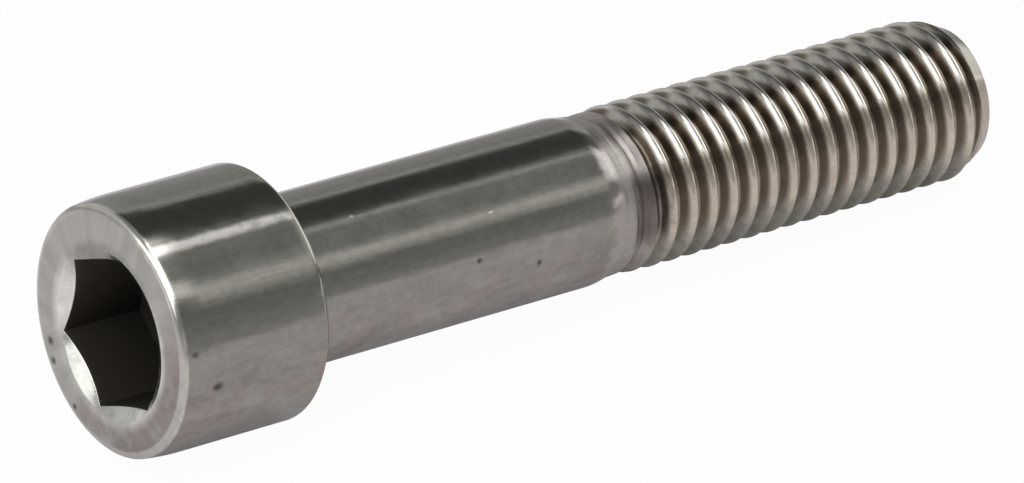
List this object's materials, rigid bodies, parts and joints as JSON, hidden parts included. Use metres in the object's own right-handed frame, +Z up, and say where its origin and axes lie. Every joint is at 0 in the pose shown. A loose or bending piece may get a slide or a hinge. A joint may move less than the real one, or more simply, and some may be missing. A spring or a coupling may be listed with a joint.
{
  "type": "hex socket cap screw",
  "caption": "Cylindrical-head cap screw with a countersunk hex socket, a plain shank and a right-hand thread over the far half.",
  "frame": {"origin": "centre of the bounding box at its base, so the floor under the lying screw is z = 0", "axes": "+X along the screw from its head to its tip, level; +Z up. The screw's own axis dips about 3 degrees towards the tip, because the head is wider than the thread"},
  "size_m": [0.0726, 0.018, 0.0185],
  "materials": {
    "steel": "satin, drawn and turned, lightly stained in the thread"
  },
  "bodies": {
    "root": {"cap_screw": "steel"}
  },
  "joints": []
}
